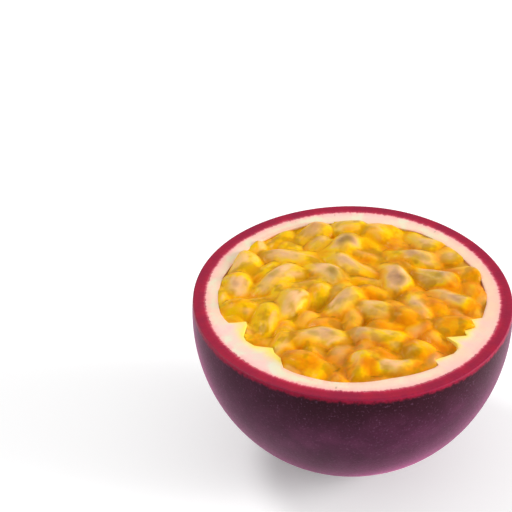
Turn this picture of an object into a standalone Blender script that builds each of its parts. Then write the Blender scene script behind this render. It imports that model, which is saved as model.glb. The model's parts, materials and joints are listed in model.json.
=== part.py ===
"""Half of a purple passion fruit, cut across its middle and resting on its round end, the cut face up.

There are two solids. The peel is the purple skin with its white pith, one fruit wall with three low
ridges inside. The pulp fills the peel: a core with the seed sacs that show fused onto its top.
Sizes are in metres and +Z is up. The origin is where the fruit rests, under the middle of the cut.
"""

import math
import random

import bmesh
import bpy
from mathutils import Matrix, Vector

# The whole fruit is a slightly long ball, and the knife went through a little above its middle.
CUT_RADIUS = 0.028
FRUIT_HALF_LENGTH = 0.0301
CUT_ABOVE_MIDDLE = 0.0025
REST_RADIUS = 0.004  # the flat spot that the half rests on

FRUIT_RADIUS = CUT_RADIUS / math.sqrt(1 - (CUT_ABOVE_MIDDLE / FRUIT_HALF_LENGTH) ** 2)
MIDDLE_Z = FRUIT_HALF_LENGTH * math.sqrt(1 - (REST_RADIUS / FRUIT_RADIUS) ** 2)
CUT_Z = MIDDLE_Z + CUT_ABOVE_MIDDLE

# The fruit's outline is uneven by this much: (size, lobes round the axis, turn in degrees).
RIPPLES = ((0.00012, 2, 20.0), (0.00009, 3, 75.0), (0.00006, 5, 10.0))
RIPPLE_TWIST = 1.5  # radians from the fruit's middle to its end

# The wall, and the three ridges inside it that the sacs grow from: (azimuth in degrees, depth).
WALL = 0.0045
RIDGES = ((85.0, 0.0012), (216.0, 0.0033), (327.0, 0.0028))
RIDGE_HALF_WIDTH = 24.0  # degrees
CLEARANCE = 0.0003  # between peel and pulp

# A sac is a drop, thinner at its stalk end than at its round end.
SAC_TAPER = 0.22
SAC_SIDES = 10
SAC_RINGS = 6

# The large sacs that lie on top: (x, y, heading, length, width), in mm and degrees.
TOP_SACS = (
    (-2, 21, 0, 8, 5),
    (3, 20, -15, 8, 5),
    (-8, 19, 35, 9, 5),
    (12, 18, -40, 10, 5),
    (-3, 15, 40, 11, 5.5),
    (16, 14, -20, 8, 5),
    (10, 13, -10, 12, 5.5),
    (-11, 12, -5, 12, 5.5),
    (-1, 10, -35, 12, 5),
    (18, 9, -15, 10, 4.5),
    (-20, 8, 70, 10, 5.5),
    (7, 7, -65, 11, 6),
    (-5, 7, -35, 11, 6),
    (14, 7, -30, 10, 5),
    (-14, 5, 40, 12, 5.5),
    (21, 5, -70, 8, 5.5),
    (-21, 3, 75, 8, 5),
    (17, 1, -15, 10, 5.5),
    (11, 0, -85, 12, 6),
    (-2, -2, 55, 11, 5.5),
    (4, -3, -20, 9, 5.5),
    (-12, -3, 60, 12, 6),
    (8, -3, -50, 9, 5.5),
    (-20, -4, 10, 8, 6),
    (17, -6, -5, 10, 6),
    (-15, -7, 85, 10, 5),
    (4, -10, -15, 12, 5.5),
    (-6, -11, 10, 12, 6),
    (11, -13, -50, 8, 5),
    (-12, -13, 75, 7, 5),
    (-9, -17, -20, 8, 5),
    (2, -18, 75, 9, 6),
    (8, -18, 10, 11, 4.5),
    (-6, -20, 70, 7, 6),
)

# More sacs fill the gaps between those, the widest gap first, and lie a little deeper.
LOWER_SACS = 46
LOWER_LENGTH = (6.6, 8.6)
LOWER_WIDTH = (3.8, 4.8)
LOWER_DEPTH = (0.5, 0.9)
TURNS_TRIED = 12
RISE = 9.0  # degrees by which a sac's round end points up or down, at most

# The tops of the sacs stand proud of the cut, more in the middle than at the wall.
PROUD_IN_MIDDLE = 1.15
PROUD_AT_WALL = 0.6
CORE_DEPTH = 0.0012  # the core's top, below the cut

MM = 0.001
SEED = 4

BALL_SIDES = 60
BALL_RINGS = 30
SHARP_ANGLE = 50.0  # degrees, from which an edge is shaded as an edge


def ridge_depth(azimuth):
    """How far the wall's ridges reach inwards at an azimuth in radians, at the height of the cut."""
    depth = 0.0
    for middle, height in RIDGES:
        off = (math.degrees(azimuth) - middle + 180) % 360 - 180
        if abs(off) < RIDGE_HALF_WIDTH:
            depth += height * math.cos(math.pi / 2 * off / RIDGE_HALF_WIDTH) ** 2
    return depth


def ripple(azimuth, rise):
    """How far the outline stands out at an azimuth in radians, and at a height from -1 to 1."""
    out = 0.0
    for size, lobes, turn in RIPPLES:
        out += size * math.cos(lobes * (azimuth - math.radians(turn)) + RIPPLE_TWIST * rise)
    return out


def fruit_point(unit, inset=0.0, with_ridges=False):
    """The point of the fruit's form in a direction from its middle, moved inwards by inset."""
    azimuth = math.atan2(unit.y, unit.x)
    level = math.sqrt(max(0.0, 1 - unit.z**2))  # 1 at the fruit's middle and 0 at its ends
    wide = FRUIT_RADIUS - inset + ripple(azimuth, unit.z) * level
    if with_ridges:
        wide -= ridge_depth(azimuth) * level**2
    tall = FRUIT_HALF_LENGTH - inset
    return Vector((unit.x * wide, unit.y * wide, MIDDLE_Z + unit.z * tall))


def new_object(name, mesh_maker):
    """A named object whose mesh mesh_maker builds in bmesh."""
    bm = bmesh.new()
    mesh_maker(bm)
    mesh = bpy.data.meshes.new(name)
    bm.to_mesh(mesh)
    bm.free()
    obj = bpy.data.objects.new(name, mesh)
    bpy.context.scene.collection.objects.link(obj)
    return obj


def ball(bm, **form):
    """A ball shaped by fruit_point."""
    bmesh.ops.create_uvsphere(bm, u_segments=BALL_SIDES, v_segments=BALL_RINGS, radius=1)
    for vertex in bm.verts:
        vertex.co = fruit_point(vertex.co.normalized(), **form)


def trim(bm, height, above):
    """Cuts off what lies above or below a height, and closes the cut with a flat face."""
    geometry = bm.verts[:] + bm.edges[:] + bm.faces[:]
    cut = bmesh.ops.bisect_plane(
        bm,
        geom=geometry,
        plane_co=(0, 0, height),
        plane_no=(0, 0, 1),
        clear_outer=above,
        clear_inner=not above,
    )
    edges = [g for g in cut["geom_cut"] if isinstance(g, bmesh.types.BMEdge)]
    bmesh.ops.contextual_create(bm, geom=edges)
    bmesh.ops.recalc_face_normals(bm, faces=bm.faces)


def whole_half(bm):
    """The half fruit as one full body: level at the cut, with the small flat spot below."""
    ball(bm)
    trim(bm, CUT_Z, above=True)
    trim(bm, 0.0, above=False)


def sac(bm, length, width, place):
    """One seed sac, its stalk end at -X, put in place by a matrix."""
    made = bmesh.ops.create_uvsphere(
        bm,
        u_segments=SAC_SIDES,
        v_segments=SAC_RINGS,
        radius=1,
        matrix=Matrix.Rotation(math.pi / 2, 4, "Y"),
    )
    for vertex in made["verts"]:
        along, side, up = vertex.co
        half_width = (1 + SAC_TAPER * along) * width / 2
        vertex.co = place @ Vector((along * length / 2, side * half_width, up * half_width))


def wall_reach(x, y):
    """The inner wall's distance from the axis at the cut, in the direction of a point, in mm."""
    azimuth = math.atan2(y, x)
    rise = CUT_ABOVE_MIDDLE / (FRUIT_HALF_LENGTH - WALL)
    level = math.sqrt(1 - rise**2)
    return (FRUIT_RADIUS - WALL - ridge_depth(azimuth) * level**2) * level / MM


def room(x, y, sacs):
    """How far a spot is from the nearest sac or from the wall, in mm."""
    nearest = wall_reach(x, y) - math.hypot(x, y)
    for sac_x, sac_y, heading, length, width in sacs:
        along = (math.cos(math.radians(heading)), math.sin(math.radians(heading)))
        reach = (length - width) / 2
        shift = (x - sac_x) * along[0] + (y - sac_y) * along[1]
        shift = max(-reach, min(reach, shift))
        off = math.hypot(x - sac_x - shift * along[0], y - sac_y - shift * along[1])
        nearest = min(nearest, off - width / 2)
    return nearest


def fill_gap(sacs, spots, rng):
    """A lower sac on the spot with the most room, turned to where its two ends have the most room."""
    x, y = max(spots, key=spots.get)
    length = rng.uniform(*LOWER_LENGTH)
    width = rng.uniform(*LOWER_WIDTH)
    reach = (length - width) / 2

    def room_for_ends(heading):
        step_x = reach * math.cos(math.radians(heading))
        step_y = reach * math.sin(math.radians(heading))
        return min(room(x + step_x, y + step_y, sacs), room(x - step_x, y - step_y, sacs))

    heading = max((180 * turn / TURNS_TRIED for turn in range(TURNS_TRIED)), key=room_for_ends)
    return x, y, heading, length, width


def all_sacs(rng):
    """(x, y, heading, length, width, depth below the heap's top) of each sac."""
    reach = int(CUT_RADIUS / MM)
    grid = [(x, y) for x in range(-reach, reach + 1) for y in range(-reach, reach + 1)]
    spots = {(x, y): room(x, y, TOP_SACS) for x, y in grid}
    sacs = list(TOP_SACS)
    depths = [0.0] * len(TOP_SACS)
    for _ in range(LOWER_SACS):
        sacs.append(fill_gap(sacs, spots, rng))
        depths.append(rng.uniform(*LOWER_DEPTH))
        for spot in spots:
            spots[spot] = min(spots[spot], room(*spot, sacs[-1:]))
    return [(*sac, depth) for sac, depth in zip(sacs, depths)]


def sac_place(x, y, heading, width, depth, rise):
    """The matrix that puts a sac in its place, from values in mm and degrees."""
    share = min(1.0, math.hypot(x, y) / wall_reach(x, y))
    top = PROUD_IN_MIDDLE + (PROUD_AT_WALL - PROUD_IN_MIDDLE) * share**2
    move = Matrix.Translation((x * MM, y * MM, CUT_Z + (top - depth - width / 2) * MM))
    turn = Matrix.Rotation(math.radians(heading), 4, "Z")
    return move @ turn @ Matrix.Rotation(-math.radians(rise), 4, "Y")


def helper(obj):
    """Marks a cutter, which isn't part of the fruit."""
    obj.hide_render = True
    obj.display_type = "WIRE"
    return obj


def boolean(obj, operation, other):
    """Adds a Boolean with another object, or with the objects of a collection."""
    modifier = obj.modifiers.new(operation.title(), "BOOLEAN")
    modifier.operation = operation
    modifier.solver = "EXACT"
    if isinstance(other, bpy.types.Collection):
        modifier.operand_type = "COLLECTION"
        modifier.collection = other
    else:
        modifier.object = other
    return modifier


def finish(obj, colour, roughness):
    """Gives an object its own material, and smooth shading on its round faces."""
    material = bpy.data.materials.new(obj.name)
    material.use_nodes = True
    shader = material.node_tree.nodes["Principled BSDF"]
    shader.inputs["Base Color"].default_value = (*colour, 1)
    shader.inputs["Roughness"].default_value = roughness
    shader.inputs["Metallic"].default_value = 0
    obj.data.materials.append(material)
    obj.data.shade_smooth()
    obj.data.set_sharp_from_angle(angle=math.radians(SHARP_ANGLE))


def apply(obj, modifier):
    """Applies a modifier to its object's own mesh."""
    bpy.context.view_layer.objects.active = obj
    bpy.ops.object.modifier_apply(modifier=modifier.name)


def keep_outer_shell(obj):
    """Fills the small hollows that fusing sealed, and drops loose scraps."""
    bm = bmesh.new()
    bm.from_mesh(obj.data)
    left = set(bm.verts)
    shells = []
    while left:
        shell = set()
        front = {left.pop()}
        while front:
            shell |= front
            front = {edge.other_vert(vertex) for vertex in front for edge in vertex.link_edges} - shell
        left -= shell
        shells.append(shell)
    shells.sort(key=len)
    for shell in shells[:-1]:
        bmesh.ops.delete(bm, geom=list(shell), context="VERTS")
    bm.to_mesh(obj.data)
    bm.free()


def make_peel():
    peel = new_object("peel", whole_half)
    cavity = helper(new_object("cavity", lambda bm: ball(bm, inset=WALL, with_ridges=True)))
    boolean(peel, "DIFFERENCE", cavity)
    finish(peel, (0.075, 0.018, 0.045), 0.4)


def make_pulp():
    rng = random.Random(SEED)
    core_top = CUT_Z - CORE_DEPTH

    def core(bm):
        bmesh.ops.create_cone(
            bm,
            cap_ends=True,
            segments=BALL_SIDES,
            radius1=CUT_RADIUS,
            radius2=CUT_RADIUS,
            depth=core_top,
            matrix=Matrix.Translation((0, 0, core_top / 2)),
        )

    pulp = new_object("pulp", core)
    sacs = bpy.data.collections.new("sacs")
    for number, (x, y, heading, length, width, depth) in enumerate(all_sacs(rng)):
        place = sac_place(x, y, heading, width, depth, rng.uniform(-RISE, RISE))
        one = new_object(f"sac_{number}", lambda bm: sac(bm, length * MM, width * MM, place))
        bpy.context.scene.collection.objects.unlink(one)
        sacs.objects.link(one)
    apply(pulp, boolean(pulp, "UNION", sacs))
    for one in list(sacs.objects):
        bpy.data.objects.remove(one)
    bpy.data.collections.remove(sacs)

    inside = helper(new_object("inside", lambda bm: ball(bm, inset=WALL + CLEARANCE, with_ridges=True)))
    apply(pulp, boolean(pulp, "INTERSECT", inside))
    keep_outer_shell(pulp)
    finish(pulp, (0.82, 0.42, 0.03), 0.25)


def main():
    for obj in list(bpy.data.objects):
        bpy.data.objects.remove(obj)
    make_peel()
    make_pulp()


main()
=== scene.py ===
"""The looks of half a purple passion fruit: waxy skin, cut rind and a wet heap of seed sacs.

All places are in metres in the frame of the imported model: +Z is up, the fruit rests on z = 0 with its
cut face up, and the viewer of the photograph stands on the -Y side.
"""

import json
import math
import random

import bpy
import numpy as np
from mathutils import Matrix, Vector
from mathutils.noise import noise, noise_vector, seed_set

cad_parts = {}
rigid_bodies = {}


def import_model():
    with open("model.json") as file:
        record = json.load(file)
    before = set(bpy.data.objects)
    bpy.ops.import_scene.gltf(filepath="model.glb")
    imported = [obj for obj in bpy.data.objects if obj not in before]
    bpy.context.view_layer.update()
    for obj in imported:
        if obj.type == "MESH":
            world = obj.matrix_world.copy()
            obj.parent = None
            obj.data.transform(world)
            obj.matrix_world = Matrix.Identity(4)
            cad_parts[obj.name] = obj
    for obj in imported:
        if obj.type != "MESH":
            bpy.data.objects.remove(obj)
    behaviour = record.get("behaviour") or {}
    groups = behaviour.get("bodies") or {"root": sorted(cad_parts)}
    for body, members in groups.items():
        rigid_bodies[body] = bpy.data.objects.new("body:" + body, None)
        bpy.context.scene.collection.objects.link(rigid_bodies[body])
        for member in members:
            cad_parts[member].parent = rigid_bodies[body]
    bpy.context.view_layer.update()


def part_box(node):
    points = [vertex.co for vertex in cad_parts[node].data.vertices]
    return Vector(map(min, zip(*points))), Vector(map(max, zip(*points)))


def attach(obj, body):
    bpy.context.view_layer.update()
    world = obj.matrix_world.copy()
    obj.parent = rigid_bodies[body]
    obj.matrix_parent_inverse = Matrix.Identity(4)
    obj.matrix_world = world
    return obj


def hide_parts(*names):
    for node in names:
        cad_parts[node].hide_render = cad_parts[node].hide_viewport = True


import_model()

MM = 0.001

# The fruit's form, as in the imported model. Its cut height is read from the frame.
CUT_RADIUS = 0.028
FRUIT_HALF_LENGTH = 0.0301
CUT_ABOVE_MIDDLE = 0.0025
REST_RADIUS = 0.004
CUT_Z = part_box("peel")[1].z
FRUIT_RADIUS = CUT_RADIUS / math.sqrt(1 - (CUT_ABOVE_MIDDLE / FRUIT_HALF_LENGTH) ** 2)
MIDDLE_Z = CUT_Z - CUT_ABOVE_MIDDLE
RIPPLES = ((0.00012, 2, 20.0), (0.00009, 3, 75.0), (0.00006, 5, 10.0))  # size, lobes, turn in degrees
RIPPLE_TWIST = 1.5

# The rind: its wall and the three ridges inside it.
WALL = 0.0045
RIDGES = ((85.0, 0.0012), (216.0, 0.0033), (327.0, 0.0028))  # azimuth in degrees, depth
RIDGE_HALF_WIDTH = 24.0
RIDGE_STARTS = 0.0024  # from the skin, where the ridges begin to widen the pith
RIDGE_ENDS = 0.97 * WALL  # where they have widened it in full
# Where the rind's inner edge runs at the cut: (azimuth in degrees, mm inwards of the even wall). The
# torn teeth of pith stand from 200 to 240 and from 310 to 350 degrees.
RIND_EDGE = (
    (0, 0.2), (20, 0.0), (40, 0.3), (60, 0.2), (75, 0.9), (85, 1.2), (95, 1.0), (112, 0.2), (130, 0.0),
    (150, 0.2), (170, 0.0), (185, 0.0), (193, 0.1), (198, 0.5), (200.5, 0.9), (202, 3.9), (205, 3.7),
    (209, 2.6), (212, 1.8), (215, 1.5), (220, 1.9), (224, 3.1), (227, 3.9), (230, 3.1), (235, 2.6),
    (237.5, 1.6), (240, 0.6), (245, 0.3), (252, 0.2), (262, 0.0), (275, 0.3), (288, 0.8), (300, 0.5),
    (308, 0.3), (310.5, 0.5), (311.5, 2.3), (316, 1.5), (321, 0.9), (325, 1.1), (327.5, 2.0), (329, 4.5),
    (332, 3.2), (335.5, 1.6), (338, 2.9), (342.5, 1.3), (346.5, 3.2), (350, 0.6), (355, 0.5), (360, 0.2),
)
EDGE_HEIGHT = 0.0024  # how far below the cut the torn edge turns into the wall's even ridges
FIBRE_SHARE = 0.3  # how much slower the rind's pattern changes inwards than along the wall

SPIN_STEPS = 720
SKIN_ROWS = 60
CUT_ROWS = 26
INNER_ROWS = 14
INNER_CROWDING = 1.4  # the inner wall's rows lie closer near the cut
EDGE_ROUND = 0.00025

# The large sacs that lie on top, in mm and degrees:
# (x, y, heading, length, width, tone, how clearly its seed shows, the seed's place along it).
# A tone of 0 is pale beige, 0.4 bright yellow, 0.7 orange and 1 deep orange.
TOP_SACS = (
    (-2, 21, 0, 8, 5, 0.33, 0.2, 0.0),
    (3, 20, -15, 8, 5, 0.45, 0.0, 0.0),
    (-8, 19, 35, 9, 5, 0.48, 0.5, 0.2),
    (12, 18, -40, 10, 5, 0.33, 0.3, 0.0),
    (-3, 15, 40, 11, 5.5, 0.10, 0.9, 0.4),
    (16, 14, -20, 8, 5, 0.24, 0.2, 0.0),
    (10, 13, -10, 12, 5.5, 0.35, 0.7, 0.3),
    (-11, 12, -5, 12, 5.5, 0.25, 0.4, -0.3),
    (-1, 10, -35, 12, 5, 0.35, 0.5, 0.0),
    (18, 9, -15, 10, 4.5, 0.60, 0.0, 0.0),
    (-20, 8, 70, 10, 5.5, 0.32, 0.0, 0.0),
    (7, 7, -65, 11, 6, 0.20, 0.9, 0.35),
    (-5, 7, -35, 11, 6, 0.20, 0.8, 0.25),
    (14, 7, -30, 10, 5, 0.20, 0.6, 0.2),
    (-14, 5, 40, 12, 5.5, 0.08, 0.6, 0.0),
    (21, 5, -70, 8, 5.5, 0.55, 0.0, 0.0),
    (-21, 3, 75, 8, 5, 0.20, 0.5, -0.2),
    (17, 1, -15, 10, 5.5, 0.12, 0.7, -0.1),
    (11, 0, -85, 12, 6, 0.36, 0.7, 0.65),
    (-2, -2, 55, 11, 5.5, 0.15, 0.6, 0.1),
    (4, -3, -20, 9, 5.5, 0.28, 0.2, 0.0),
    (-12, -3, 60, 12, 6, 0.08, 0.5, -0.1),
    (8, -3, -50, 9, 5.5, 0.58, 0.0, 0.0),
    (-20, -4, 10, 8, 6, 0.45, 0.0, 0.0),
    (17, -6, -5, 10, 6, 0.60, 0.0, 0.0),
    (-15, -7, 85, 10, 5, 0.45, 0.0, 0.0),
    (4, -10, -15, 12, 5.5, 0.08, 0.6, -0.35),
    (-6, -11, 10, 12, 6, 0.22, 0.7, 0.05),
    (11, -13, -50, 8, 5, 0.40, 0.0, 0.0),
    (-12, -13, 75, 7, 5, 0.38, 0.0, 0.0),
    (-9, -17, -20, 8, 5, 0.66, 0.0, 0.0),
    (2, -18, 75, 9, 6, 0.34, 0.0, 0.0),
    (8, -18, 10, 11, 4.5, 0.08, 0.3, 0.0),
    (-6, -20, 70, 7, 6, 0.42, 0.0, 0.0),
)

# The sacs that fill the gaps between those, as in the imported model.
LOWER_SACS = 46
LOWER_LENGTH = (6.6, 8.6)
LOWER_WIDTH = (3.8, 4.8)
LOWER_DEPTH = (0.5, 0.9)
TURNS_TRIED = 12
RISE = 9.0
PROUD_IN_MIDDLE = 1.15
PROUD_AT_WALL = 0.6
SEED = 4

SAC_TAPER = 0.22
SAC_FULLNESS = 2.5  # 2 would be an ellipsoid, and more is fuller towards the ends
SAC_SEGMENTS = 32
SAC_RINGS = 22
SAC_SWELL = 1.10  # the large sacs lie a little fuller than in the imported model
LUMPS_SEED = 3
SAC_LUMPS = ((0.0009, 5.5), (0.00016, 2.0))  # height of the sacs' lumps, and their distance in mm
JUICE_DEPTH = 0.0008  # the juice between the sacs, below the cut
JUICE_AT_WALL = 0.0001
JUICE_SLOPE = 0.0014  # how wide the band is in which it climbs to the wall
JUICE_THICKNESS = 0.0034
JUICE_SIDES = 360
PULP_VOXEL = 0.000245
PULP_SOFTENING = 8
PULP_OVERLAP = 0.0004  # how far the pulp reaches into the rind, so that no gap shows

# Where neighbouring sacs have merged, in patches, and how much further they are softened there.
MERGING = 36
MERGING_DISTANCE = 4.5  # in mm, from patch to patch
MERGING_CONTRAST = 2.2
MERGED_SHARE = 0.55
LOOSE_BAND = (14, 21)  # mm from the axis, where the sacs come to lie looser
LOOSENING = 0.7

# The body of pulp under the sacs. It can't be seen, so it has one deep tone.
CORE_ROWS = 24
CORE_STEPS = 96
CORE_CLEARANCE = 0.0002
HIDDEN_LOOKS = {"tone": 0.9, "seed": 0.0, "core": 0.0, "crease": 0.3, "far_shadow": 0.0}

# The tones of the juice and of the sacs that fill the gaps. Both grow warmer towards the right and
# the front, over a band of 12 mm to either side of the axis.
WARM_WAY = (0.8, -0.6)
WARMTH_REACH = 12
JUICE_TONE = 0.42
JUICE_WARMTH = 0.24
LOWER_TONE = (0.34, 0.56)
LOWER_WARMTH = 0.14
LOWER_SEEDS = (0.0, 0.0, 0.3)  # one in three shows a seed faintly
SHADE_BELOW_CUT = 0.12  # painted shade: how much deeper and darker the tone grows below the cut, and over which depths in mm
SHADE_BELOW_CUT_DEPTHS = (-0.4, 1.0)
DEEPEST_TONE = 0.86

# Where a sac shows its core, seed, creases and the painted shadow along its far edge. Distances are in mm
# from the border with the next sac, or outside the sac for the juice. Shares are of the sac's half length
# or half width.
CREASE_REACH = 0.7
CREASE_FADE = 0.5
JUICE_BAND = (0.25, 0.9)
CORE_STARTS = 0.1
CORE_FULL = 1.5
CORE_UNEVEN = 0.8
CORE_PATCH = 3.0
CORE_ENDS = (0.40, 0.95)
CORE_FADE = 0.5
CORE_FOLLOWS_SEED = 0.6
SEED_LENGTH = 0.72
SEED_WIDTH = 0.9
SEED_ASIDE = 0.15
SEED_WANDER = (0.35, 0.4)
SEED_PATCH = 2.4
SEED_EDGE = (0.1, 1.15)
SEED_OUTSIDE_CORE = 0.4
FAR_SHADOW_TURN = (0.15, 0.75)
FAR_SHADOW_BAND = (0.05, 0.36)
STREAK_SHARE = 0.45
STREAK_STEP = 7.3  # keeps the streaks of one sac unlike the next one's

# The photograph: its size and where the middle of the cut face lies in it, in pixels, and how the
# camera looks down and is tilted, in degrees.
IMAGE_SIZE = 512
CUT_MIDDLE_PIXEL = (353.0, 299.0)
PIXELS_ACROSS_CUT_RADIUS = 159.4
CAMERA_ELEVATION = 37.6
CAMERA_ROLL = 1.94
CAMERA_DISTANCE = 20 * CUT_RADIUS
SENSOR_WIDTH = 36.0

# The studio's soft square lights: name, place, size and watts.
LIGHTS = (
    ("key", (-1.1, 0.7, 1.8), 0.7, 17.8),
    ("side", (1.5, -0.1, 0.45), 0.8, 30.0),
)
WORLD_STRENGTH = 0.55
FLOOR_SIZE = 4.0


# Form of the fruit


def ridge_depth(azimuth):
    """How far the wall's ridges reach inwards at an azimuth in radians, at the height of the cut."""
    depth = 0.0
    for middle, height in RIDGES:
        off = (math.degrees(azimuth) - middle + 180) % 360 - 180
        if abs(off) < RIDGE_HALF_WIDTH:
            depth += height * math.cos(math.pi / 2 * off / RIDGE_HALF_WIDTH) ** 2
    return depth


def edge_depth(azimuth):
    """How far the rind's inner edge at the cut lies inwards of the even wall, at azimuths in radians."""
    turns, depths = zip(*RIND_EDGE)
    return np.interp(np.degrees(azimuth) % 360, turns, depths) * MM


def torn_share(below):
    """How much of the torn edge's shape the wall has at a depth below the cut."""
    return np.exp(-((np.maximum(below, 0) / EDGE_HEIGHT) ** 2))


def ripple(azimuth, rise):
    """How far the outline stands out at an azimuth in radians, and at a height from -1 to 1."""
    out = 0.0
    for size, lobes, turn in RIPPLES:
        out += size * math.cos(lobes * (azimuth - math.radians(turn)) + RIPPLE_TWIST * rise)
    return out


def ball_point(rise, inset):
    """(distance from the axis, height) on the fruit's even form, moved inwards by inset."""
    level = math.sqrt(max(0.0, 1 - rise**2))
    return (FRUIT_RADIUS - inset) * level, MIDDLE_Z + rise * (FRUIT_HALF_LENGTH - inset)


def smooth_step(low, high, value):
    share = np.clip((value - low) / (high - low), 0, 1)
    return share * share * (3 - 2 * share)


# Modelling helpers


def deselect_all():
    for obj in bpy.context.view_layer.objects:
        obj.select_set(False)


def only(obj):
    """Makes an object the one selected and active object."""
    deselect_all()
    obj.select_set(True)
    bpy.context.view_layer.objects.active = obj
    return obj


def apply_modifier(obj, kind, **settings):
    """Adds a modifier with its settings, and applies it."""
    only(obj)
    modifier = obj.modifiers.new(kind.title(), kind)
    for name, value in settings.items():
        setattr(modifier, name, value)
    bpy.ops.object.modifier_apply(modifier=modifier.name)


def vertex_array(obj):
    co = np.empty(len(obj.data.vertices) * 3)
    obj.data.vertices.foreach_get("co", co)
    return co.reshape(-1, 3)


def set_vertices(obj, co):
    obj.data.vertices.foreach_set("co", co.ravel())
    obj.data.update()


def store(obj, name, values):
    """Keeps one number, or one vector, for each point of a mesh, for its material to read."""
    values = np.asarray(values, np.float32)
    kind, field = ("FLOAT", "value") if values.ndim == 1 else ("FLOAT_VECTOR", "vector")
    attribute = obj.data.attributes.new(name, kind, "POINT")
    attribute.data.foreach_set(field, values.ravel())


def spun(name, profile, steps):
    """A closed turned body: a vertex is drawn along (across, height) points and spun round the axis."""
    deselect_all()
    bpy.ops.mesh.primitive_plane_add(size=MM, location=(profile[0][0], 0, profile[0][1]))
    obj = bpy.context.object
    obj.name = name
    bpy.ops.object.mode_set(mode="EDIT")
    bpy.ops.mesh.select_mode(type="VERT")
    bpy.ops.mesh.select_all(action="SELECT")
    bpy.ops.mesh.merge(type="CENTER")
    for (x, z), (next_x, next_z) in zip(profile, profile[1:]):
        step = (next_x - x, 0, next_z - z)
        bpy.ops.mesh.extrude_region_move(TRANSFORM_OT_translate={"value": step})
    bpy.ops.mesh.select_all(action="SELECT")
    bpy.ops.mesh.spin(steps=steps, angle=2 * math.pi, center=(0, 0, 0), axis=(0, 0, 1))
    bpy.ops.mesh.select_all(action="SELECT")
    bpy.ops.mesh.remove_doubles(threshold=MM / 500)
    bpy.ops.mesh.normals_make_consistent(inside=False)
    bpy.ops.object.mode_set(mode="OBJECT")
    bpy.ops.object.transform_apply(location=True, rotation=True, scale=True)
    return obj


# Peel


def peel_profile():
    """From under the fruit up the skin, over the cut face, and down the inner wall to the axis."""
    points = [(0.0, 0.0), (REST_RADIUS / 2, 0.0)]
    low = math.asin(-MIDDLE_Z / FRUIT_HALF_LENGTH)
    high = math.asin(CUT_ABOVE_MIDDLE / FRUIT_HALF_LENGTH)
    for row in range(SKIN_ROWS):
        rise = math.sin(low + (high - low) * row / (SKIN_ROWS - 1))
        points.append(ball_point(rise, 0.0))
    edge_x, edge_z = points.pop()
    bend = EDGE_ROUND * (1 - math.sqrt(0.5))
    points.append((edge_x, edge_z - EDGE_ROUND))
    points.append((edge_x - bend, edge_z - bend))
    inner_rise = CUT_ABOVE_MIDDLE / (FRUIT_HALF_LENGTH - WALL)
    inner_x, _ = ball_point(inner_rise, WALL)
    for row in range(CUT_ROWS):
        share = row / (CUT_ROWS - 1)
        points.append((edge_x - EDGE_ROUND + (inner_x - edge_x + 2 * EDGE_ROUND) * share, edge_z))
    points.append((inner_x + bend, edge_z - bend))
    top = math.asin(inner_rise)
    for row in range(1, INNER_ROWS + 1):
        turn = top - (top + math.pi / 2) * (row / INNER_ROWS) ** INNER_CROWDING
        points.append(ball_point(math.sin(turn), WALL))
    points[-1] = (0.0, points[-1][1])
    return points


def shape_peel(peel):
    """Gives the turned body its ripples, ridges and teeth, and notes where in the wall each point is."""
    co = vertex_array(peel)
    across = np.hypot(co[:, 0], co[:, 1])
    azimuth = np.arctan2(co[:, 1], co[:, 0])
    inward = np.zeros(len(co))
    moved = np.zeros(len(co))
    for i, (radius, turn, z) in enumerate(zip(across, azimuth, co[:, 2])):
        rise = (z - MIDDLE_Z) / FRUIT_HALF_LENGTH
        skin, _ = ball_point(rise, 0.0)
        level = math.sqrt(max(0.0, 1 - rise**2))
        depth = max(0.0, skin - radius)
        below = CUT_Z - z
        share = float(smooth_step(RIDGE_STARTS, RIDGE_ENDS, depth))
        step = ripple(turn, rise) * level
        torn = torn_share(below)
        reach = edge_depth(turn) * torn + ridge_depth(turn) * level**2 * (1 - torn)
        reach *= share
        moved[i] = radius + (step - reach) * level
        inward[i] = depth + reach
    scale = np.where(across > 1e-9, moved / np.maximum(across, 1e-9), 1)
    co[:, 0] *= scale
    co[:, 1] *= scale
    set_vertices(peel, co)
    store(peel, "inward", inward / MM)
    store(peel, "from_pulp", (moved - even_reach() + edge_depth(azimuth)) / MM)
    around = CUT_RADIUS / MM
    across_wall = inward / MM * FIBRE_SHARE
    fibre = np.stack([np.cos(azimuth) * around, np.sin(azimuth) * around, across_wall], 1)
    store(peel, "fibre", fibre)


def make_peel():
    """The rind in one piece: skin outside, and the cut wall and its inner side."""
    peel = spun("peel_half", peel_profile(), SPIN_STEPS)
    outside = []
    for face in peel.data.polygons:
        x, y, z = face.center
        skin, _ = ball_point((z - MIDDLE_Z) / FRUIT_HALF_LENGTH, 0.0)
        under_cut = z < CUT_Z - EDGE_ROUND
        outside.append(z < EDGE_ROUND or skin - math.hypot(x, y) < WALL / 8 and under_cut)
    shape_peel(peel)
    peel.data.materials.append(skin_material())
    peel.data.materials.append(rind_material())
    for face, is_skin in zip(peel.data.polygons, outside):
        face.material_index = 0 if is_skin else 1
    only(peel)
    bpy.ops.object.shade_smooth_by_angle(angle=math.radians(40))
    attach(peel, "root")
    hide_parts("peel")


# Pulp


def even_reach():
    """The inner wall's distance from the axis at the cut, apart from its ridges."""
    return ball_point(CUT_ABOVE_MIDDLE / (FRUIT_HALF_LENGTH - WALL), WALL)[0]


def wall_reach(x, y):
    """The inner wall's distance from the axis at the cut, in the direction of a point, in mm."""
    azimuth = math.atan2(y, x)
    rise = CUT_ABOVE_MIDDLE / (FRUIT_HALF_LENGTH - WALL)
    level = math.sqrt(1 - rise**2)
    return (FRUIT_RADIUS - WALL - ridge_depth(azimuth) * level**2) * level / MM


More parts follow.
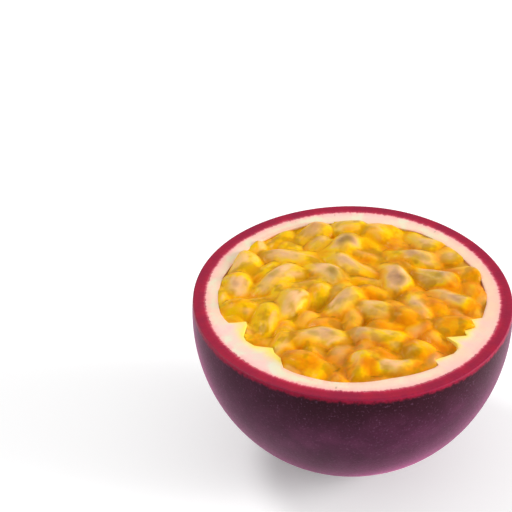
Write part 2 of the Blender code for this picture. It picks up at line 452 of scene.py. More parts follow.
def room(x, y, sacs):
    """How far a spot is from the nearest sac or from the wall, in mm."""
    nearest = wall_reach(x, y) - math.hypot(x, y)
    for sac_x, sac_y, heading, length, width, *_ in sacs:
        along = (math.cos(math.radians(heading)), math.sin(math.radians(heading)))
        reach = (length - width) / 2
        shift = (x - sac_x) * along[0] + (y - sac_y) * along[1]
        shift = max(-reach, min(reach, shift))
        off = math.hypot(x - sac_x - shift * along[0], y - sac_y - shift * along[1])
        nearest = min(nearest, off - width / 2)
    return nearest


def fill_gap(sacs, spots, rng):
    """A lower sac on the spot with the most room, turned so that its two ends have the most room."""
    x, y = max(spots, key=spots.get)
    length = rng.uniform(*LOWER_LENGTH)
    width = rng.uniform(*LOWER_WIDTH)
    reach = (length - width) / 2

    def room_for_ends(heading):
        step_x = reach * math.cos(math.radians(heading))
        step_y = reach * math.sin(math.radians(heading))
        return min(room(x + step_x, y + step_y, sacs), room(x - step_x, y - step_y, sacs))

    heading = max((180 * turn / TURNS_TRIED for turn in range(TURNS_TRIED)), key=room_for_ends)
    return x, y, heading, length, width


def sac_place(x, y, heading, width, depth, rise):
    """The matrix that puts a sac in its place, from values in mm and degrees."""
    share = min(1.0, math.hypot(x, y) / wall_reach(x, y))
    top = PROUD_IN_MIDDLE + (PROUD_AT_WALL - PROUD_IN_MIDDLE) * share**2
    move = Matrix.Translation((x * MM, y * MM, CUT_Z + (top - depth - width / 2) * MM))
    turn = Matrix.Rotation(math.radians(heading), 4, "Z")
    return move @ turn @ Matrix.Rotation(-math.radians(rise), 4, "Y")


def all_sacs():
    """A dict for each sac: its place as a matrix, its length and width, and its looks."""
    rng = random.Random(SEED)
    reach = int(CUT_RADIUS / MM)
    grid = [(x, y) for x in range(-reach, reach + 1) for y in range(-reach, reach + 1)]
    spots = {(x, y): room(x, y, TOP_SACS) for x, y in grid}
    sacs = [row[:5] for row in TOP_SACS]
    depths = [0.0] * len(TOP_SACS)
    for _ in range(LOWER_SACS):
        sacs.append(fill_gap(sacs, spots, rng))
        depths.append(rng.uniform(*LOWER_DEPTH))
        for spot in spots:
            spots[spot] = min(spots[spot], room(*spot, sacs[-1:]))
    rises = [rng.uniform(-RISE, RISE) for _ in sacs]
    looks = [row[5:] for row in TOP_SACS]
    for x, y, *_ in sacs[len(TOP_SACS):]:
        tone = rng.uniform(*LOWER_TONE) + LOWER_WARMTH * warmth(x, y)
        looks.append((tone, rng.choice(LOWER_SEEDS), 0.0))
    made = []
    for sac, depth, rise, (tone, seed, seed_at) in zip(sacs, depths, rises, looks):
        x, y, heading, length, width = sac
        made.append({
            "place": sac_place(x, y, heading, width, depth, rise),
            "length": length * MM,
            "width": width * MM,
            "tone": tone,
            "seed": seed,
            "seed_at": seed_at,
        })
    return made


def drop():
    """One seed sac, 1 long and 1 wide: a ball drawn into a drop with its stalk end at -X."""
    deselect_all()
    bpy.ops.mesh.primitive_uv_sphere_add(
        segments=SAC_SEGMENTS, ring_count=SAC_RINGS, radius=0.5, rotation=(0, math.pi / 2, 0)
    )
    obj = bpy.context.object
    bpy.ops.object.transform_apply(location=True, rotation=True, scale=True)
    for vertex in obj.data.vertices:
        along = min(abs(vertex.co.x) * 2, 0.9999)
        fuller = (1 - along**SAC_FULLNESS) ** (1 / SAC_FULLNESS) / math.sqrt(1 - along**2)
        swell = (1 + SAC_TAPER * vertex.co.x * 2) * fuller
        vertex.co.y *= swell
        vertex.co.z *= swell
    return obj


def juice_disc():
    """The juice that stands between the sacs, and climbs a little where it meets the rind."""
    across = CUT_RADIUS - WALL + PULP_OVERLAP
    thick = JUICE_THICKNESS + JUICE_DEPTH - JUICE_AT_WALL
    middle = (0, 0, CUT_Z - JUICE_AT_WALL - thick / 2)
    deselect_all()
    bpy.ops.mesh.primitive_cylinder_add(
        vertices=JUICE_SIDES, radius=across, depth=thick, location=middle
    )
    disc = bpy.context.object
    bpy.ops.object.transform_apply(location=True, rotation=True, scale=True)
    bpy.ops.object.mode_set(mode="EDIT")
    bpy.ops.mesh.select_all(action="DESELECT")
    bpy.ops.object.mode_set(mode="OBJECT")
    for face in disc.data.polygons:
        face.select = face.normal.z > 0.9
    bpy.ops.object.mode_set(mode="EDIT")
    bpy.ops.mesh.select_mode(type="FACE")
    bpy.ops.mesh.inset(thickness=JUICE_SLOPE)
    bpy.ops.transform.translate(value=(0, 0, JUICE_AT_WALL - JUICE_DEPTH))
    bpy.ops.object.mode_set(mode="OBJECT")
    return disc


def hold_in_rind(pulp):
    """Brings what would stand inside the rind back to the rind's inner edge."""
    co = vertex_array(pulp)
    across = np.hypot(co[:, 0], co[:, 1])
    azimuth = np.arctan2(co[:, 1], co[:, 0])
    ridges = np.array([ridge_depth(turn) for turn in azimuth])
    torn = torn_share(CUT_Z - co[:, 2])
    limit = even_reach() - edge_depth(azimuth) * torn - ridges * (1 - torn) + PULP_OVERLAP
    co[:, :2] *= np.minimum(1, limit / np.maximum(across, MM))[:, None]
    set_vertices(pulp, co)


def lumps(place):
    """How far the sacs' surface is moved at a place, so that no two sacs have the same shape."""
    move = Vector()
    for height, distance in SAC_LUMPS:
        move += noise_vector(place / (distance * MM)) * height
    return move


def drop_bubbles(pulp):
    """Deletes the tiny sealed bubbles that the remesh leaves inside, and keeps the highest body."""
    only(pulp)
    bpy.ops.object.mode_set(mode="EDIT")
    bpy.ops.mesh.select_mode(type="VERT")
    bpy.ops.mesh.select_all(action="DESELECT")
    bpy.ops.object.mode_set(mode="OBJECT")
    max(pulp.data.vertices, key=lambda vertex: vertex.co.z).select = True
    bpy.ops.object.mode_set(mode="EDIT")
    bpy.ops.mesh.select_linked()
    bpy.ops.mesh.select_all(action="INVERT")
    bpy.ops.mesh.delete(type="VERT")
    bpy.ops.object.mode_set(mode="OBJECT")


def merge_some(pulp):
    """Softens the creases in patches, where neighbouring sacs have merged."""
    merged = pulp.vertex_groups.new(name="merged")
    for vertex in pulp.data.vertices:
        loose = smooth_step(*LOOSE_BAND, math.hypot(vertex.co.x, vertex.co.y) / MM)
        patch = noise(vertex.co / (MERGING_DISTANCE * MM)) * MERGING_CONTRAST
        share = patch + MERGED_SHARE - LOOSENING * loose
        if share > 0:
            merged.add((vertex.index,), min(1.0, share), "REPLACE")
    apply_modifier(pulp, "SMOOTH", factor=0.5, iterations=MERGING, vertex_group="merged")
    pulp.vertex_groups.clear()


def warmth(x, y):
    """How orange the juice is at a place in mm, from yellow at the back left to orange at the right."""
    return smooth_step(-WARMTH_REACH, WARMTH_REACH, WARM_WAY[0] * x + WARM_WAY[1] * y)


def of_each(sacs, name):
    """One value of each sac, as an array."""
    return np.array([sac[name] for sac in sacs])


def sac_distances(co, sacs):
    """For each sac and point, how far outside the sac the point lies, in mm, and its place in the sac."""
    distances, alongs, sides = [], [], []
    for sac in sacs:
        inverse = np.array(sac["place"].inverted())
        local = co @ inverse[:3, :3].T + inverse[:3, 3]
        along = local[:, 0] / (sac["length"] / 2)
        half = (1 + SAC_TAPER * np.clip(along, -1, 1)) * sac["width"] / 2
        round_share = np.hypot(local[:, 1], local[:, 2]) / half
        far = np.abs(along) ** SAC_FULLNESS + round_share**SAC_FULLNESS
        distances.append((far ** (1 / SAC_FULLNESS) - 1) * sac["width"] / 2 / MM)
        alongs.append(along)
        sides.append(local[:, 1] / (sac["width"] / 2))
    return np.array(distances), np.array(alongs), np.array(sides)


def grain_place(first, along, side, sacs):
    """A place in mm along and across each point's own sac, drawn out along it, for streaks in its skin."""
    lengths = of_each(sacs, "length") / 2 / MM
    widths = of_each(sacs, "width") / 2 / MM
    drawn_out = along * lengths[first] * STREAK_SHARE
    return np.stack([drawn_out, side * widths[first], first * STREAK_STEP], 1)


def core_share(co, gap, off_seed):
    """How far each point lies in its sac's core, which is clear of the next sac and fades at the ends."""
    wide = np.array([noise(Vector(place) / (CORE_PATCH * MM)) for place in co])
    core = smooth_step(CORE_STARTS, CORE_FULL + CORE_UNEVEN * wide, gap)
    ends = smooth_step(*CORE_ENDS, np.abs(off_seed))
    return core * (1 - CORE_FADE * ends)


def seed_share(co, along, side, seed_at):
    """How far each point lies over its sac's seed, whose outline wanders a little."""
    wander = np.array([noise_vector(Vector(place) / (SEED_PATCH * MM)) for place in co])
    off_along = (along - seed_at) / SEED_LENGTH + SEED_WANDER[0] * wander[:, 0]
    off_side = (side + SEED_ASIDE) / SEED_WIDTH + SEED_WANDER[1] * wander[:, 1]
    return 1 - smooth_step(*SEED_EDGE, np.hypot(off_along, off_side))


def faces_back(co, first, sacs):
    """How far each point's own sac turns away from the viewer there: 1 on its far side."""
    middles = np.array([sac["place"].translation for sac in sacs])
    axes = np.array([sac["place"].to_3x3() @ Vector((1, 0, 0)) for sac in sacs])
    reaches = (of_each(sacs, "length") - of_each(sacs, "width")) / 2
    shift = np.einsum("ij,ij->i", co - middles[first], axes[first])
    shift = np.clip(shift, -reaches[first], reaches[first])
    outward = co - middles[first] - axes[first] * shift[:, None]
    return outward[:, 1] / np.maximum(np.linalg.norm(outward, axis=1), 1e-9)


def colour_pulp(pulp, sacs):
    """Notes each point's tone, with painted shade below the cut, and how clearly a core, a seed, a crease
    or the painted shadow on a far edge shows there.
    """
    co = vertex_array(pulp)
    flat = np.array([place - lumps(place) for place in map(Vector, co)])
    distances, alongs, sides = sac_distances(flat, sacs)
    first, second = np.argsort(distances, axis=0)[:2]
    points = np.arange(len(co))
    near = distances[first, points]
    gap = distances[second, points] - near
    along = alongs[first, points]
    side = sides[first, points]
    seed_at = of_each(sacs, "seed_at")[first]
    crease = 1 - smooth_step(0.0, CREASE_REACH, gap)
    juice = smooth_step(*JUICE_BAND, near)
    core = core_share(co, gap, along - CORE_FOLLOWS_SEED * seed_at) * (1 - juice)
    juice_tone = JUICE_TONE + JUICE_WARMTH * warmth(co[:, 0] / MM, co[:, 1] / MM)
    tone = of_each(sacs, "tone")[first] * core + juice_tone * (1 - core)
    # Painted shade: the tone grows deeper and darker below the cut.
    tone = tone + SHADE_BELOW_CUT * smooth_step(*SHADE_BELOW_CUT_DEPTHS, (CUT_Z - co[:, 2]) / MM)
    seed = seed_share(co, along, side, seed_at) * of_each(sacs, "seed")[first]
    seed = seed * (SEED_OUTSIDE_CORE + (1 - SEED_OUTSIDE_CORE) * core) * (1 - juice)
    # Painted shadow: a dark line in the crease on each sac's far side.
    far_shadow = smooth_step(*FAR_SHADOW_TURN, faces_back(flat, first, sacs))
    far_shadow = far_shadow * (1 - smooth_step(*FAR_SHADOW_BAND, gap)) * (1 - juice)
    store(pulp, "grain", grain_place(first, along, side, sacs))
    store(pulp, "tone", np.clip(tone, 0, DEEPEST_TONE))
    store(pulp, "seed", seed)
    store(pulp, "core", core)
    store(pulp, "crease", np.clip(crease * (1 - CREASE_FADE * juice), 0, 1))
    store(pulp, "far_shadow", far_shadow)


def joined_sacs(sacs):
    """The juice with a copy of the drop in each sac's place, as one object."""
    master = drop()
    copies = []
    for number, sac in enumerate(sacs):
        mesh = master.data.copy()
        swell = SAC_SWELL if number < len(TOP_SACS) else 1.0
        size = Matrix.Diagonal((sac["length"] * swell, sac["width"] * swell, sac["width"], 1))
        mesh.transform(sac["place"] @ size)
        one = bpy.data.objects.new(f"sac_{number}", mesh)
        bpy.context.scene.collection.objects.link(one)
        copies.append(one)
    bpy.data.objects.remove(master)
    pulp = juice_disc()
    pulp.name = "seed_sacs"
    only(pulp)
    for one in copies:
        one.select_set(True)
    bpy.ops.object.join()
    return bpy.context.object


def make_pulp():
    """The heap of sacs that shows at the cut."""
    seed_set(LUMPS_SEED)
    sacs = all_sacs()
    pulp = joined_sacs(sacs)
    for vertex in pulp.data.vertices:
        vertex.co += lumps(vertex.co)
    hold_in_rind(pulp)
    apply_modifier(pulp, "REMESH", mode="VOXEL", voxel_size=PULP_VOXEL)
    drop_bubbles(pulp)
    apply_modifier(pulp, "SMOOTH", factor=0.5, iterations=PULP_SOFTENING)
    merge_some(pulp)
    hold_in_rind(pulp)
    colour_pulp(pulp, sacs)
    only(pulp)
    bpy.ops.object.shade_smooth()
    pulp.data.materials.clear()
    pulp.data.materials.append(pulp_material())
    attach(pulp, "root")
    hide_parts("pulp")


def make_pulp_core():
    """The body of pulp under the sacs that show, which fills the rind."""
    top = CUT_Z - JUICE_DEPTH - JUICE_THICKNESS / 2
    high = math.asin((top - MIDDLE_Z) / (FRUIT_HALF_LENGTH - WALL))
    points = [(0.0, top)]
    for row in range(CORE_ROWS + 1):
        turn = high - (high + math.pi / 2) * row / CORE_ROWS
        points.append(ball_point(math.sin(turn), WALL))
    points[-1] = (0.0, points[-1][1])
    core = spun("pulp_core", points, CORE_STEPS)
    co = vertex_array(core)
    for i, (x, y, z) in enumerate(co):
        level = math.sqrt(max(0.0, 1 - ((z - MIDDLE_Z) / (FRUIT_HALF_LENGTH - WALL)) ** 2))
        radius = math.hypot(x, y)
        if radius > MM:
            edge = (FRUIT_RADIUS - WALL) * level
            reach = ridge_depth(math.atan2(y, x)) * level**3 * (radius / edge) + CORE_CLEARANCE
            co[i, :2] *= (radius - reach) / radius
    set_vertices(core, co)
    for name, value in HIDDEN_LOOKS.items():
        store(core, name, np.full(len(co), value))
    store(core, "grain", co / MM)
    core.data.materials.append(pulp_material())
    only(core)
    bpy.ops.object.shade_smooth()
    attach(core, "root")
    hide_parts("pulp")


# Materials


def shade(red, green, blue):
    """A colour given as red, green and blue from 0 to 255, as a shader's linear colour."""
    linear = []
    for value in (red, green, blue):
        value /= 255
        linear.append(value / 12.92 if value <= 0.04045 else ((value + 0.055) / 1.055) ** 2.4)
    return (*linear, 1.0)


SKIN_DARK = shade(56, 14, 38)
SKIN_PURPLE = shade(68, 21, 49)
SKIN_PALER = shade(84, 33, 63)
# Painted shade under the rim
SKIN_SHADE_UNDER_RIM = shade(36, 0, 9)
SKIN_SPECK = shade(158, 112, 142)
SKIN_FLECK = shade(140, 94, 126)
SKIN_PIT = shade(36, 10, 22)
SKIN_BLOOM = shade(232, 100, 176)
CRIMSON_OVER_EDGE = shade(154, 18, 54)

LAYERS_DEPTH = 6.0  # mm inwards from the skin, at a place of 1 in the layers below
RIND_LAYERS = (
    (0.00, shade(140, 16, 52)),
    (0.06, shade(164, 18, 54)),
    (0.20, shade(160, 18, 50)),
    (0.31, shade(182, 30, 64)),
    (0.355, shade(214, 100, 114)),
    (0.39, shade(248, 178, 174)),
    (0.47, shade(245, 194, 184)),
    (0.56, shade(239, 210, 195)),
    (0.72, shade(239, 211, 195)),
)
WINE = shade(128, 18, 58)
PITH_PINK = shade(251, 198, 192)
PITH_GREEN = shade(228, 230, 202)
# Painted shade on the right side of the pith
PITH_SHADE_ROSE = shade(242, 190, 172)
PITH_FLUSH = shade(250, 186, 176)
JUICE_STAIN = shade(252, 226, 96)
VEIN_DOT = shade(150, 146, 112)
SEAM = shade(112, 46, 52)

# The pulp's colour by tone: beige, yellow, orange and deep orange
PULP_TONES = (
    (0.00, shade(222, 180, 108)),
    (0.16, shade(232, 184, 76)),
    (0.32, shade(240, 192, 0)),
    (0.48, shade(240, 174, 0)),
    (0.64, shade(234, 149, 0)),
    (0.82, shade(218, 122, 0)),
    (1.00, shade(188, 92, 0)),
)
GOLD = shade(176, 124, 0)
# Painted highlight on the pale sacs
PEACH_HIGHLIGHT = shade(250, 196, 144)
OLIVE_HALO = shade(206, 164, 74)
MAUVE_HALO = shade(222, 172, 124)
OLIVE_HEART = shade(128, 100, 36)
MAUVE_HEART = shade(140, 100, 82)
# Painted shade in the creases
CREASE_SHADE_JUICE = shade(216, 132, 0)
# Painted shadow along the sacs' far edges
FAR_SHADOW_LINE = shade(138, 98, 4)
PULP_GLOSS = shade(255, 216, 96)
FLOOR_PALE = shade(250, 250, 250)


def put(tree, kind, inputs=None, **settings):
    """A new node with its settings, each input given a value or another node's output."""
    node = tree.nodes.new(kind)
    for name, value in settings.items():
        setattr(node, name, value)
    for name, value in (inputs or {}).items():
        if isinstance(value, bpy.types.NodeSocket):
            tree.links.new(value, node.inputs[name])
        else:
            node.inputs[name].default_value = value
    return node


def read(tree, name, output="Fac"):
    """An attribute that store has kept on the mesh."""
    return put(tree, "ShaderNodeAttribute", attribute_name=name).outputs[output]


def math_node(tree, operation, first, second=0.0, clamp=False):
    node = put(
        tree, "ShaderNodeMath", {0: first, 1: second}, operation=operation, use_clamp=clamp
    )
    return node.outputs[0]


def mix(tree, factor, first, second):
    """Two colours mixed. The node's colour sockets are those numbered 6 and 7, and 2."""
    inputs = {0: factor, 6: first, 7: second}
    return put(tree, "ShaderNodeMix", inputs, data_type="RGBA").outputs[2]


def ramp(tree, value, stops):
    """A colour ramp over stops of (place, colour), from the lowest place up."""
    node = put(tree, "ShaderNodeValToRGB", {"Fac": value})
    elements = node.color_ramp.elements
    elements.remove(elements[1])
    elements[0].position, elements[0].color = stops[0]
    for position, colour in stops[1:]:
        elements.new(position).color = colour
    return node.outputs["Color"]


def spread(tree, value, low, high, to_low=0.0, to_high=1.0, smooth=False):
    """A value moved from one range into another, clamped."""
    inputs = {
        "Value": value,
        "From Min": low,
        "From Max": high,
        "To Min": to_low,
        "To Max": to_high,
    }
    kind = "SMOOTHSTEP" if smooth else "LINEAR"
    return put(tree, "ShaderNodeMapRange", inputs, interpolation_type=kind).outputs["Result"]


def millimetres(tree):
    """The place on the object in mm, so that a pattern's scale says how many features lie in a mm."""
    place = put(tree, "ShaderNodeTexCoord").outputs["Object"]
    inputs = {0: place, "Scale": 1 / MM}
    return put(tree, "ShaderNodeVectorMath", inputs, operation="SCALE").outputs[0]


def clouds_group():
    """The node group for every cloudy or ragged pattern: noise, moved from one range into another."""
    if "clouds" in bpy.data.node_groups:
        return bpy.data.node_groups["clouds"]
    group = bpy.data.node_groups.new("clouds", "ShaderNodeTree")
    group.interface.new_socket("Place", in_out="INPUT", socket_type="NodeSocketVector")
    for name in ("Per mm", "Detail", "Roughness", "Low", "High", "To Low", "To High"):
        group.interface.new_socket(name, in_out="INPUT", socket_type="NodeSocketFloat")
    group.interface.new_socket("Mask", in_out="OUTPUT", socket_type="NodeSocketFloat")
    given = group.nodes.new("NodeGroupInput").outputs
    inputs = {
        "Vector": given["Place"],
        "Scale": given["Per mm"],
        "Detail": given["Detail"],
        "Roughness": given["Roughness"],
    }
    cloud = put(group, "ShaderNodeTexNoise", inputs).outputs["Fac"]
    ends = [given[name] for name in ("Low", "High", "To Low", "To High")]
    mask = spread(group, cloud, *ends)
    group.links.new(mask, group.nodes.new("NodeGroupOutput").inputs["Mask"])
    return group


def clouds(
    tree, place, per_mm, low=0.0, high=1.0, to_low=0.0, to_high=1.0, detail=3.0, roughness=0.5
):
    """An uneven mask that goes from to_low to to_high where its noise goes from low to high."""
    inputs = {
        "Place": place,
        "Per mm": per_mm,
        "Detail": detail,
        "Roughness": roughness,
        "Low": low,
        "High": high,
        "To Low": to_low,
        "To High": to_high,
    }
    return put(tree, "ShaderNodeGroup", inputs, node_tree=clouds_group()).outputs["Mask"]


def product(tree, first, *others):
    """The product of masks and numbers."""
    for other in others:
        first = math_node(tree, "MULTIPLY", first, other)
    return first


def cover(tree, colour, over, *shares):
    """A colour with another laid over it, as far as all the shares together say."""
    return mix(tree, product(tree, *shares), colour, over)


def new_material(name):
    material = bpy.data.materials.new(name)
    material.use_nodes = True
    tree = material.node_tree
    return material, tree, tree.nodes["Principled BSDF"]


def finish(tree, shader, colour, relief, strength, distance):
    """Gives the shader its colour and its fine relief."""
    tree.links.new(colour, shader.inputs["Base Color"])
    inputs = {"Height": relief, "Strength": strength, "Distance": distance}
    normal = put(tree, "ShaderNodeBump", inputs).outputs["Normal"]
    tree.links.new(normal, shader.inputs["Normal"])


def skin_material():
    """Dark purple, with painted shade that darkens it under the rim, less at the left, and fine specks;
    the crimson layer fades over its edge.
    """
    material, tree, shader = new_material("purple_skin")
    place = millimetres(tree)
    axes = put(tree, "ShaderNodeSeparateXYZ", {0: place}).outputs
    height = axes["Z"]
    rim_height = CUT_Z / MM
    blotch = clouds(tree, place, 0.16, detail=4.0, roughness=0.6)
    colour = ramp(tree, blotch, [(0.30, SKIN_DARK), (0.5, SKIN_PURPLE), (0.72, SKIN_PALER)])
    # Painted shade: the skin is painted darker just under the rim, less so at the left.
    shade_under_rim = spread(tree, height, rim_height - 11.0, rim_height - 0.8, smooth=True)
    shade_less_at_left = spread(tree, axes["X"], -20.0, -2.0, 0.45, 0.85, smooth=True)
    colour = cover(tree, colour, SKIN_SHADE_UNDER_RIM, shade_under_rim, shade_less_at_left)
    cells = put(tree, "ShaderNodeTexVoronoi", {"Vector": place, "Scale": 1.5})
    dots = spread(tree, cells.outputs["Distance"], 0.26, 0.08)
    speck = product(tree, dots, clouds(tree, place, 0.9, 0.50, 0.68, detail=2.0))
    colour = cover(tree, colour, SKIN_SPECK, speck, 0.10)
    flecks = clouds(tree, place, 2.4, 0.60, 0.74, 0.0, 0.22, detail=2.0)
    colour = cover(tree, colour, SKIN_FLECK, flecks)
    pits = clouds(tree, place, 2.4, 0.38, 0.27, 0.0, 0.5, detail=2.0)
    colour = cover(tree, colour, SKIN_PIT, pits)
    jag = clouds(tree, place, 1.1, to_low=-0.8, to_high=0.8, detail=4.0, roughness=0.65)
    above = math_node(tree, "ADD", height, jag)
    over_edge = spread(tree, above, rim_height - 1.15, rim_height - 0.1, smooth=True)
    colour = cover(tree, colour, CRIMSON_OVER_EDGE, over_edge)
    grain = clouds(tree, place, 2.6, roughness=0.6)
    relief = math_node(tree, "ADD", grain, product(tree, speck, 0.6))
    finish(tree, shader, colour, relief, 0.25, 0.00008)
    tree.links.new(spread(tree, grain, 0.3, 0.7, 0.32, 0.45), shader.inputs["Roughness"])
    shader.inputs["Specular IOR Level"].default_value = 0.08
    shader.inputs["Sheen Weight"].default_value = 0.55
    shader.inputs["Sheen Roughness"].default_value = 0.3
    shader.inputs["Sheen Tint"].default_value = SKIN_BLOOM
    return material


def rind_material():
    """The cut wall: crimson outside, then white pith that is pink and green in patches, with painted shade
    that makes it pinker and darker at the right.

    Near the pulp the pith is flushed and stained yellow by the juice, most of all on the torn teeth.
    """
    material, tree, shader = new_material("cut_rind")
    place = millimetres(tree)
    inward = read(tree, "inward")
    from_pulp = read(tree, "from_pulp")
    fibre_place = read(tree, "fibre", "Vector")
    jag = clouds(
        tree, fibre_place, 1.5, to_low=-0.45, to_high=0.45, detail=4.0, roughness=0.65
    )
    deep = math_node(tree, "ADD", inward, jag)
    share = math_node(tree, "DIVIDE", deep, LAYERS_DEPTH, clamp=True)
    colour = ramp(tree, share, RIND_LAYERS)
    in_crimson = spread(tree, deep, 2.2, 1.9)
    wine = clouds(tree, place, 0.25, 0.38, 0.62, roughness=0.6)
    colour = cover(tree, colour, WINE, wine, in_crimson, 0.5)
    in_pith = spread(tree, deep, 2.35, 2.6)
    pink = clouds(tree, place, 0.32, 0.50, 0.64)
    colour = cover(tree, colour, PITH_PINK, pink, in_pith, 0.6)
    green = clouds(tree, place, 0.32, 0.48, 0.36)
    colour = cover(tree, colour, PITH_GREEN, green, in_pith, 0.7)
    axes = put(tree, "ShaderNodeSeparateXYZ", {0: place}).outputs
    # Painted shade: the pith is painted pinker and darker towards the right, less so near the pulp.
    shade_at_right = spread(tree, axes["X"], 8.0, 26.0, 0.0, 0.7)
    in_ring = spread(tree, inward, 5.6, 4.6, 0.35, 1.0)
    colour = cover(tree, colour, PITH_SHADE_ROSE, in_pith, shade_at_right, in_ring)
    flush = product(tree, spread(tree, from_pulp, 0.9, 0.3), in_pith)
    in_patches = clouds(tree, place, 0.6, 0.40, 0.60, detail=2.0)
    colour = cover(tree, colour, PITH_FLUSH, flush, in_patches, 0.8)
    ragged = clouds(tree, place, 0.5, to_low=-1.5, to_high=1.5)
    stain = spread(tree, math_node(tree, "ADD", from_pulp, ragged), 3.4, 0.6)
    more_on_teeth = spread(tree, inward, 4.9, 6.2, 0.15, 1.0)
    colour = cover(tree, colour, JUICE_STAIN, stain, more_on_teeth, in_pith)
    veins = put(tree, "ShaderNodeTexVoronoi", {"Vector": fibre_place, "Scale": 0.55})
    vein_dot = spread(tree, veins.outputs["Distance"], 0.16, 0.05)
    ring = product(tree, spread(tree, inward, 2.5, 2.7), spread(tree, inward, 3.3, 3.0))
    colour = cover(tree, colour, VEIN_DOT, vein_dot, ring, 0.6)
    off_seam = math_node(tree, "ABSOLUTE", math_node(tree, "SUBTRACT", deep, 2.2))
    seam = spread(tree, off_seam, 0.13, 0.03)
    here_and_there = clouds(tree, fibre_place, 0.5, 0.50, 0.60, detail=2.0)
    colour = cover(tree, colour, SEAM, seam, here_and_there, 0.6)
    fibres = clouds(tree, fibre_place, 2.2, detail=4.0, roughness=0.6)
    finish(tree, shader, colour, fibres, 0.35, 0.00012)
    tree.links.new(spread(tree, fibres, 0.3, 0.7, 0.36, 0.55), shader.inputs["Roughness"])
    shader.inputs["Specular IOR Level"].default_value = 0.2
    shader.inputs["Subsurface Weight"].default_value = 0.1
    shader.inputs["Subsurface Radius"].default_value = (1.0, 0.55, 0.45)
    shader.inputs["Subsurface Scale"].default_value = 0.0005
    return material


def pulp_material():
    """Wet sacs by their own tones: pale cores in bright juice, with seeds that show through, painted peach
    highlights and painted shade in the creases.
    """
    if "wet_pulp" in bpy.data.materials:
        return bpy.data.materials["wet_pulp"]
    material, tree, shader = new_material("wet_pulp")
    place = millimetres(tree)
    grain = read(tree, "grain", "Vector")
    own_tone = read(tree, "tone")
    core = read(tree, "core")
    drift = clouds(tree, place, 0.28, to_low=-0.3, to_high=0.3, detail=2.0)
    streak = clouds(tree, grain, 0.6, to_low=-0.3, to_high=0.3, detail=2.0)
    tone = math_node(tree, "ADD", math_node(tree, "ADD", own_tone, drift), streak)
    colour = ramp(tree, tone, PULP_TONES)
    gold = clouds(tree, place, 0.36, 0.50, 0.62, detail=2.0)
    colour = cover(tree, colour, GOLD, gold, 0.62)
    pale = spread(tree, own_tone, 0.60, 0.15, 0.12, 1.0)
    # Painted highlight: soft peach patches on the pale sac cores.
    peach_highlight = clouds(tree, grain, 0.45, 0.48, 0.60, detail=2.0)
    colour = cover(tree, colour, PEACH_HIGHLIGHT, peach_highlight, pale, core, 0.95)
    uneven = clouds(tree, place, 0.5, 0.30, 0.60, 0.6, 1.0, detail=2.0)
    seed = product(tree, read(tree, "seed"), uneven)
    mauve = clouds(tree, place, 0.22, 0.42, 0.58, detail=1.0)
    halo = mix(tree, mauve, OLIVE_HALO, MAUVE_HALO)
    colour = cover(tree, colour, halo, spread(tree, seed, 0.0, 0.40, 0.0, 0.75))
    heart = mix(tree, mauve, OLIVE_HEART, MAUVE_HEART)
    colour = cover(tree, colour, heart, spread(tree, seed, 0.30, 0.85, 0.0, 0.75))
    patchy = clouds(tree, place, 0.3, 0.38, 0.62, detail=2.0)
    # Painted shade: the creases are painted a deeper orange, in patches.
    deep = spread(tree, read(tree, "crease"), 0.5, 1.0, smooth=True)
    colour = cover(tree, colour, CREASE_SHADE_JUICE, deep, patchy, 0.3)
    # Painted shadow: a dark line in the crease on each sac's far side, in patches.
    line = spread(tree, patchy, 0.5, 0.9)
    colour = cover(tree, colour, FAR_SHADOW_LINE, read(tree, "far_shadow"), line, 0.85)
    dents = clouds(tree, grain, 0.9, detail=2.0)
    finish(tree, shader, colour, dents, 0.2, 0.0003)
    shader.inputs["Roughness"].default_value = 0.36
    shader.inputs["Specular IOR Level"].default_value = 0.2
    shader.inputs["Specular Tint"].default_value = PULP_GLOSS
    shader.inputs["Subsurface Weight"].default_value = 0.35
    shader.inputs["Subsurface Radius"].default_value = (1.0, 0.5, 0.12)
    shader.inputs["Subsurface Scale"].default_value = 0.0018
    shader.inputs["Coat Weight"].default_value = 0.06
    shader.inputs["Coat Roughness"].default_value = 0.10
    return material


# Studio


def make_floor():
    deselect_all()
    bpy.ops.mesh.primitive_plane_add(size=FLOOR_SIZE, location=(0, 0, 0))
    floor = bpy.context.object
    floor.name = "floor"
    material, _, shader = new_material("pale_floor")
    shader.inputs["Base Color"].default_value = FLOOR_PALE
    shader.inputs["Roughness"].default_value = 0.9
    shader.inputs["Specular IOR Level"].default_value = 0.1
    shader.inputs["Emission Color"].default_value = (1, 1, 1, 1)
    shader.inputs["Emission Strength"].default_value = 0.2
    floor.data.materials.append(material)


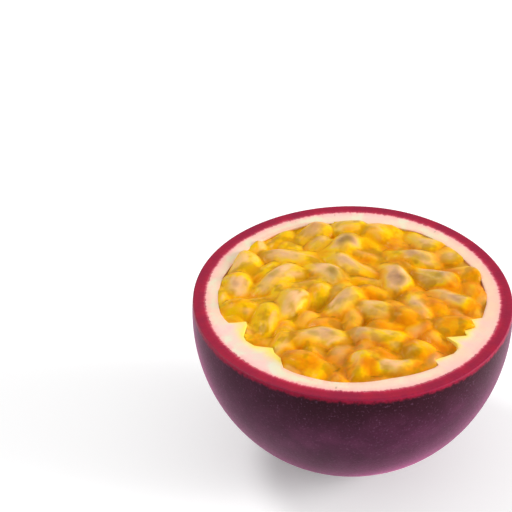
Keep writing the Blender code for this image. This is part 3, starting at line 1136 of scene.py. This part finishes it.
def area_light(name, place, target, size, power):
    """A square soft light at a place, turned to a target."""
    light = bpy.data.lights.new(name, "AREA")
    light.shape = "SQUARE"
    light.size = size
    light.energy = power
    obj = bpy.data.objects.new(name, light)
    bpy.context.scene.collection.objects.link(obj)
    obj.location = place
    obj.rotation_euler = (Vector(target) - Vector(place)).to_track_quat("-Z", "Y").to_euler()


def make_lights():
    world = bpy.data.worlds.new("studio")
    bpy.context.scene.world = world
    world.use_nodes = True
    background = world.node_tree.nodes["Background"]
    background.inputs["Color"].default_value = (1, 1, 1, 1)
    background.inputs["Strength"].default_value = WORLD_STRENGTH
    for name, place, size, power in LIGHTS:
        area_light(name, place, (0, 0, CUT_Z), size, power)


def make_camera():
    """A camera that sees the middle of the cut face at the photograph's pixel, from its elevation."""
    elevation = math.radians(CAMERA_ELEVATION)
    roll = math.radians(CAMERA_ROLL)
    ahead = Vector((0, math.cos(elevation), -math.sin(elevation)))
    level = Vector((1, 0, 0))
    upright = Vector((0, math.sin(elevation), math.cos(elevation)))
    right = level * math.cos(roll) + upright * math.sin(roll)
    up = upright * math.cos(roll) - level * math.sin(roll)
    focal_pixels = PIXELS_ACROSS_CUT_RADIUS * CAMERA_DISTANCE / CUT_RADIUS
    off_right = CUT_MIDDLE_PIXEL[0] - IMAGE_SIZE / 2
    off_down = CUT_MIDDLE_PIXEL[1] - IMAGE_SIZE / 2
    aim = (ahead * focal_pixels - right * off_right + up * off_down).normalized()
    side = (right - aim * right.dot(aim)).normalized()
    top = side.cross(aim)
    camera = bpy.data.cameras.new("camera")
    camera.sensor_width = SENSOR_WIDTH
    camera.lens = camera.sensor_width * focal_pixels / IMAGE_SIZE
    camera.clip_start = 0.01
    camera.clip_end = 10.0
    obj = bpy.data.objects.new("camera", camera)
    bpy.context.scene.collection.objects.link(obj)
    turn = Matrix((side, top, -aim)).transposed()
    place = Vector((0, 0, CUT_Z)) - ahead * CAMERA_DISTANCE
    obj.matrix_world = Matrix.Translation(place) @ turn.to_4x4()
    bpy.context.scene.camera = obj


make_camera()
make_lights()
make_floor()
make_peel()
make_pulp()
make_pulp_core()
bpy.context.scene.view_settings.view_transform = "Standard"
